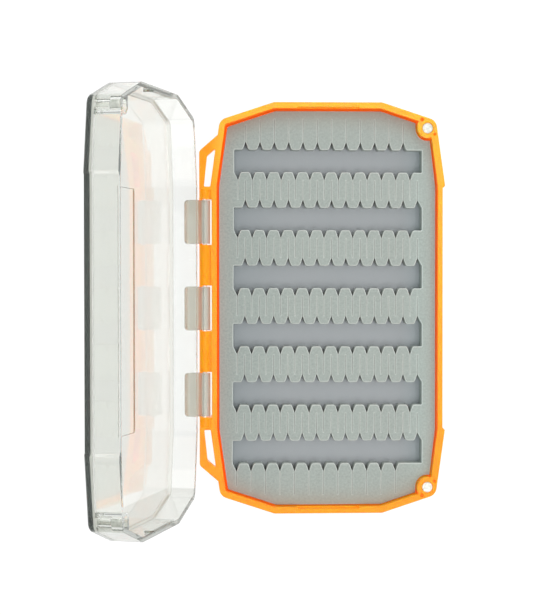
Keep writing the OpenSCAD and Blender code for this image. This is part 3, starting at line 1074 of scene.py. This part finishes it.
    def fill(self, shell: Shell, rings: list[list[int]], z: float, faces_up: bool) -> None:
        """Fills the material between the rings with triangles.

        Args:
            shell: The mesh so far.
            rings: The point numbers of the outer ring and of each hole.
            z: The face's height.
            faces_up: Whether the face looks up. It then gets points of its own, and swells.
        """
        outlines = [np.array([shell.points[i][:2] for i in ring]) for ring in rings]
        known = [i for ring in rings for i in ring]
        flat = [Vector(shell.points[i][:2]) for i in known]
        if faces_up:
            corners, half = np.concatenate(outlines), self.grid / 2
            xs, ys = (
                np.arange(low + half, high, self.grid)
                for low, high in zip(corners.min(0), corners.max(0))
            )
            points = np.array([(x + (k % 2) * half, y) for k, y in enumerate(ys) for x in xs])
            points = points[is_inside(points, outlines)]
            points = points[~near_outline(points, outlines, self.grid * self.grid_clear)]
            known += [shell.point(x, y, z + self.rise(x, y)) for x, y in points]
            flat += map(Vector, points)
        edges, first = [], 0
        for ring in rings:
            edges += [(first + k, first + (k + 1) % len(ring)) for k in range(len(ring))]
            first += len(ring)
        in_hull, merged = 1, 1e-8
        spots, _, triangles, sources, _, _ = delaunay_2d_cdt(flat, edges, [], in_hull, merged)
        number = []
        for spot, source in zip(spots, sources):
            if source:
                number.append(known[source[0]])
            else:
                number.append(shell.point(*spot, z + (self.rise(*spot) if faces_up else 0.0)))
        centres = np.array([sum((spots[i] for i in t), Vector((0, 0))) / 3 for t in triangles])
        for triangle, keep in zip(triangles, is_inside(centres, outlines)):
            if keep:
                corners = [number[i] for i in triangle]
                shell.faces.append(tuple(corners if faces_up else reversed(corners)))

    def dress(self) -> bpy.types.Object:
        """Builds the sheet, finishes it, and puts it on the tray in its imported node's place.

        Returns:
            The finished piece.
        """
        piece = self.build()
        self.finish.put_on(piece)
        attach(piece, "tray")
        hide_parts(self.node)
        return piece


@dataclass
class SlitFoam(CutSheet):
    """The die-cut foam: its slits close up under their own lips, as cut foam does."""

    slit_wid: float = 0.2 * MM
    slit_gap: float = 0.06 * MM
    slit_lip: float = 0.18 * MM
    slit_least: float = 4.0 * MM

    def dressed(self, loop: np.ndarray) -> tuple[np.ndarray, np.ndarray]:
        """Closes the slits of an outline, and gives them narrower lips.

        Args:
            loop: The outline's corners.

        Returns:
            The points, and the lip's width at each of them.
        """
        loop, count = loop.copy(), len(loop)
        lips = np.full(count, self.lip_wid)
        steps = np.roll(loop, -1, 0) - loop
        lengths = np.linalg.norm(steps, axis=1)
        for i in range(count):
            is_end = abs(lengths[i] - self.slit_wid) < 0.1 * self.slit_wid
            if is_end and min(lengths[i - 1], lengths[(i + 1) % count]) > self.slit_least:
                near, far = [i - 1, i], [(i + 1) % count, (i + 2) % count]
                middle = (loop[i] + loop[(i + 1) % count]) / 2
                side = np.sign(loop[i, 0] - middle[0])
                loop[near, 0] = middle[0] + side * self.slit_gap / 2
                loop[far, 0] = middle[0] - side * self.slit_gap / 2
                lips[near + far] = self.slit_lip
        return self.spaced(loop, lips)


# --- Rigid sub-assemblies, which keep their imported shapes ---


@dataclass
class RigidPieces:
    """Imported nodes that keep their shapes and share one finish."""

    nodes: tuple[str, ...]
    finish: Finish

    def dress(self) -> list[bpy.types.Object]:
        """Gives each node its finish.

        Returns:
            The finished nodes.
        """
        pieces = [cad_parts[name] for name in self.nodes]
        for piece in pieces:
            piece.material_slots[0].material = self.finish.material()
        return pieces


# --- Studio ---


@dataclass(frozen=True)
class SoftLamp:
    """A square soft light that faces a point on the case."""

    name: str
    place: Place
    size: float
    watts: float
    colour: Colour = (1.0, 1.0, 1.0)
    aim: Place = (0.0, 0.0, 0.02)

    def hang(self) -> None:
        """Hangs the lamp in the studio."""
        lamp = bpy.data.lights.new(self.name, "AREA")
        lamp.shape, lamp.size = "SQUARE", self.size
        lamp.energy, lamp.color = self.watts, self.colour
        holder = bpy.data.objects.new(self.name, lamp)
        bpy.context.scene.collection.objects.link(holder)
        holder.location = self.place
        aim = Vector(self.aim) - Vector(self.place)
        holder.rotation_euler = aim.to_track_quat("-Z", "Y").to_euler()


@dataclass
class Studio:
    """White paper under the case, soft lamps round it, and the camera over it."""

    floor_half: float = 1.6
    floor_gap: float = 0.05 * MM
    paper: Finish = StudioPaper("studio_paper")
    lamps: tuple[SoftLamp, ...] = (
        SoftLamp("key_lamp", (0.08, -0.28, 1.3), 0.8, 7.0),
        SoftLamp("fill_lamp", (0.8, 0.0, 0.9), 1.0, 2.4),
        SoftLamp("back_lamp", (0.35, 1.1, 0.55), 0.8, 6.0),
    )
    sky_top: Colour = (1.0, 1.0, 1.0)
    sky_rim: Colour = (0.66, 0.67, 0.67)
    sky_hole: Colour = (0.12, 0.12, 0.12)
    hole_at: Place = (-0.06, -0.09, 1.0)
    hole_reach: Span = (0.08, 0.26)
    sky_glow: float = 0.62
    sky_seen: Colour = (1.6, 1.6, 1.6)
    eye: Place = (-0.04666, 0.01259, 0.59087)
    eye_turn: Place = (-1.211, -2.357, -0.06)
    lens: float = 91.80
    sensor: float = 36.0

    def lay_floor(self) -> bpy.types.Object:
        """Lays the paper, which lifts softly at its rim.

        Returns:
            The paper.
        """
        rings = ((0.6, 0.0), (1.0, 0.0), (1.3, 0.02), (1.6, 0.12))
        spokes = 48
        scale = self.floor_half / rings[-1][0]
        verts = [(0.0, 0.0, -self.floor_gap)]
        for reach, lift in rings:
            for k in range(spokes):
                turn = 2 * math.pi * k / spokes
                x, y = reach * scale * math.cos(turn), reach * scale * math.sin(turn)
                verts.append((x, y, lift * scale - self.floor_gap))
        faces = [(0, 1 + k, 1 + (k + 1) % spokes) for k in range(spokes)]
        for a in range(1, len(verts) - spokes, spokes):
            for k in range(spokes):
                b, n = a + spokes, (k + 1) % spokes
                faces.append((a + k, b + k, b + n, a + n))
        mesh = bpy.data.meshes.new("paper")
        mesh.from_pydata(verts, [], faces)
        mesh.shade_smooth()
        floor = bpy.data.objects.new("paper", mesh)
        bpy.context.scene.collection.objects.link(floor)
        self.paper.put_on(floor)
        return floor

    def light(self) -> None:
        """Hangs the lamps and the sky, which is darker at its rim and right overhead."""
        for lamp in self.lamps:
            lamp.hang()
        world = bpy.data.worlds.new("studio_sky")
        bpy.context.scene.world = world
        world.use_nodes = True
        graph = Graph(world.node_tree)
        out = graph.add("ShaderNodeOutputWorld")
        facing = graph.add("ShaderNodeTexCoord").outputs["Generated"]
        up = graph.split(facing)[2]
        away = graph.apart(facing, self.hole_at)
        dome = graph.mix(graph.ramp(up, 0.0, 0.55), self.sky_rim, self.sky_top)
        lighting = graph.mix(graph.ramp(away, *self.hole_reach), self.sky_hole, dome)
        seen = graph.add("ShaderNodeLightPath").outputs["Is Camera Ray"]
        colour = graph.mix(seen, lighting, self.sky_seen)
        glow = graph.add("ShaderNodeBackground", {"Color": colour, "Strength": self.sky_glow})
        graph.tree.links.new(glow.outputs[0], out.inputs["Surface"])

    def set_camera(self) -> None:
        """Sets the camera over the open case, where the photograph's camera stood."""
        lens = bpy.data.cameras.new("eye")
        lens.lens, lens.sensor_width = self.lens, self.sensor
        lens.clip_start, lens.clip_end = 0.01, 20.0
        eye = bpy.data.objects.new("eye", lens)
        bpy.context.scene.collection.objects.link(eye)
        eye.location = self.eye
        eye.rotation_euler = Euler([math.radians(a) for a in self.eye_turn], "XYZ")
        scene = bpy.context.scene
        scene.camera = eye
        scene.view_settings.view_transform = "Standard"
        scene.cycles.max_bounces = 32
        scene.cycles.glossy_bounces = 16
        scene.cycles.transmission_bounces = 24
        scene.cycles.transparent_max_bounces = 24


def main() -> None:
    """Builds and finishes every piece of the fly box, then the studio round it."""
    logging.basicConfig(level=logging.INFO, format="%(name)s: %(message)s")
    rigid = (
        RigidPieces(("tray",), MouldedPlastic("tray_plastic_finish")),
        RigidPieces(("lid",), ClearPlastic("lid_plastic_finish")),
        RigidPieces(
            ("tray_magnet_upper", "tray_magnet_lower", "lid_magnet_upper", "lid_magnet_lower"),
            Metal("magnet_plating_finish"),
        ),
        RigidPieces(
            ("hinge_pin",),
            Metal(
                "pin_steel_finish",
                body=(0.88, 0.88, 0.86),
                dull=(0.74, 0.74, 0.72),
                roughness=(0.3, 0.5),
                cloud_scale=400.0,
                bare=0.6,
            ),
        ),
        RigidPieces(("adhesive_sheet",), StickyFilm("adhesive_finish")),
    )
    for group in rigid:
        for piece in group.dress():
            log.info("finished %s", piece.name)
    sheets = (
        SlitFoam("slit_foam", "slit_foam", CutFoam("slit_foam_finish")),
        CutSheet(
            "foam_backing",
            "backing_foam",
            CutFoam(
                "backing_foam_finish",
                body=(0.43, 0.455, 0.47),
                shade=(0.40, 0.42, 0.435),
                lip=(0.48, 0.5, 0.51),
                cells_per_metre=5200.0,
                lip_share=0.3,
            ),
            grid=3.0 * MM,
            swell=0.04 * MM,
            swell_scale=16.0 * MM,
        ),
    )
    for sheet in sheets:
        piece = sheet.dress()
        log.info("built %s: %d faces", piece.name, len(piece.data.polygons))
    studio = Studio()
    log.info("laid %s", studio.lay_floor().name)
    studio.light()
    studio.set_camera()


if __name__ == "__main__":
    main()
